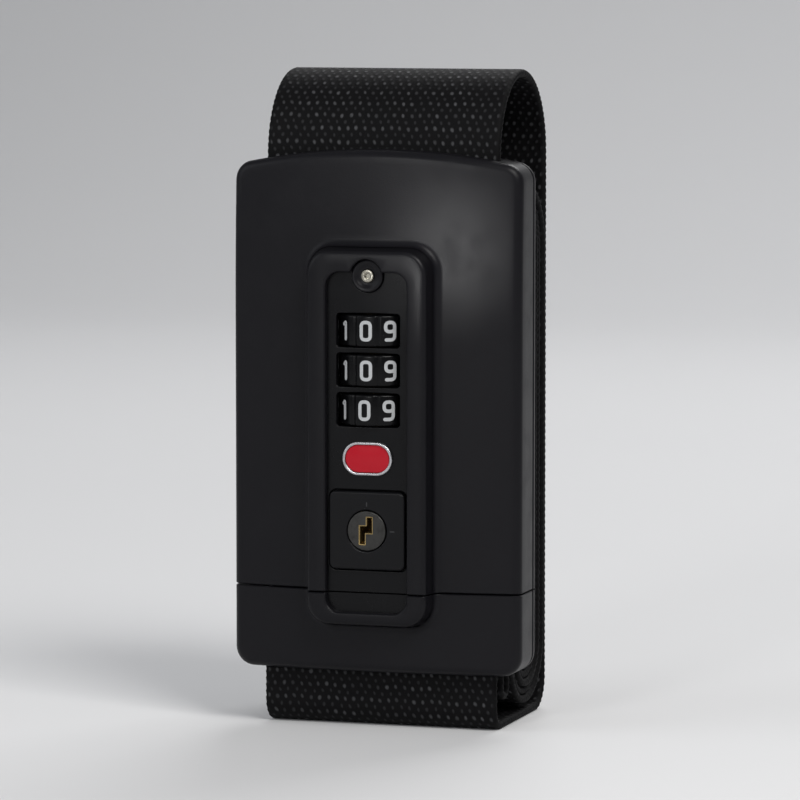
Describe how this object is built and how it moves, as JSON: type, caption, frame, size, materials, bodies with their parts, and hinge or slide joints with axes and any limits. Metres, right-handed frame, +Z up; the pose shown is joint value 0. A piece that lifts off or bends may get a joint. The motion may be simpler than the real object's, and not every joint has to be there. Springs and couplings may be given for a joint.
{
  "type": "luggage strap",
  "caption": "Wide woven luggage strap with a combination-and-key side buckle, its webbing wound flat behind the buckle and standing on its lower bend.",
  "frame": {"origin": "middle of the flat base on which the lower bend of the webbing stands", "axes": "+Z up along the buckle, lock face towards -Y, webbing edges towards -X and +X"},
  "size_m": [0.062, 0.047, 0.1357],
  "materials": {
    "webbing_black": "coarse woven polyester webbing, matt with faint glints on the raised threads",
    "body_plastic": "fine-textured charcoal ABS",
    "frame_plastic": "satin black ABS of the raised lock frame",
    "panel_plastic": "semi-gloss black ABS of the sunken panel",
    "button_plastic": "satin black ABS",
    "dial_black": "black ABS dial with white numbers",
    "core_nylon": "dark glass-filled nylon",
    "zinc": "grey die-cast zinc",
    "steel": "bright zinc-plated steel",
    "spring_steel": "spring steel",
    "brass": "machined brass",
    "plug_black": "black-plated zinc",
    "badge_metal": "polished rim",
    "enamel_red": "red enamel"
  },
  "bodies": {
    "root": {"tongue_front": "body_plastic", "tongue_bezel": "frame_plastic", "tongue_back": "body_plastic", "tongue_core": "core_nylon", "tongue_plate": "steel", "catch_spring": "spring_steel", "catch_rivets": "steel", "lower_webbing_bar": "steel", "tongue_screws": "steel", "webbing_lower": "webbing_black", "webbing_coil": "webbing_black"},
    "buckle": {"front_shell": "body_plastic", "back_shell": "body_plastic", "back_screws": "steel", "upper_webbing_bar": "steel", "lock_bezel": "frame_plastic", "lock_panel": "panel_plastic", "lock_chassis": "zinc", "lock_screws": "steel", "dial_spindle": "steel", "detent_spring": "spring_steel", "fence_bar": "steel", "reset_spring": "spring_steel", "badge_rim": "badge_metal", "badge_enamel": "enamel_red", "button_spring": "spring_steel", "webbing_upper": "webbing_black"},
    "dial_1": {"dial_1": "dial_black", "dial_hub_1": "brass"},
    "dial_2": {"dial_2": "dial_black", "dial_hub_2": "brass"},
    "dial_3": {"dial_3": "dial_black", "dial_hub_3": "brass"},
    "reset_pin": {"reset_pin": "brass"},
    "release_button": {"release_button": "button_plastic", "key_barrel": "brass"},
    "key_plug": {"key_plug": "plug_black", "plug_wafers": "brass", "key_cam": "brass"}
  },
  "joints": [
    {"name": "body_release", "type": "slide", "parent": "root", "child": "buckle", "axis": [0, 0, 1], "range_m": [0, 0.024], "deforming": ["catch_spring"]},
    {"name": "dial_1_turn", "type": "hinge", "parent": "buckle", "child": "dial_1", "pos_m": [0, -0.0152, 0.083], "axis": [0, 0, 1], "continuous": true},
    {"name": "dial_2_turn", "type": "hinge", "parent": "buckle", "child": "dial_2", "pos_m": [0, -0.0152, 0.07485], "axis": [0, 0, 1], "continuous": true},
    {"name": "dial_3_turn", "type": "hinge", "parent": "buckle", "child": "dial_3", "pos_m": [0, -0.0152, 0.0667], "axis": [0, 0, 1], "continuous": true},
    {"name": "reset_press", "type": "slide", "parent": "buckle", "child": "reset_pin", "axis": [0, 1, 0], "range_m": [0, 0.001], "stiffness_N_per_m": 100, "springref_m": -0.001, "deforming": ["reset_spring"]},
    {"name": "button_press", "type": "slide", "parent": "buckle", "child": "release_button", "axis": [0, 1, 0], "range_m": [0, 0.002], "stiffness_N_per_m": 200, "springref_m": -0.001, "deforming": ["button_spring"]},
    {"name": "key_turn", "type": "hinge", "parent": "release_button", "child": "key_plug", "pos_m": [0, -0.018, 0.0419], "axis": [0, 1, 0], "range_deg": [0, 90]}
  ]
}
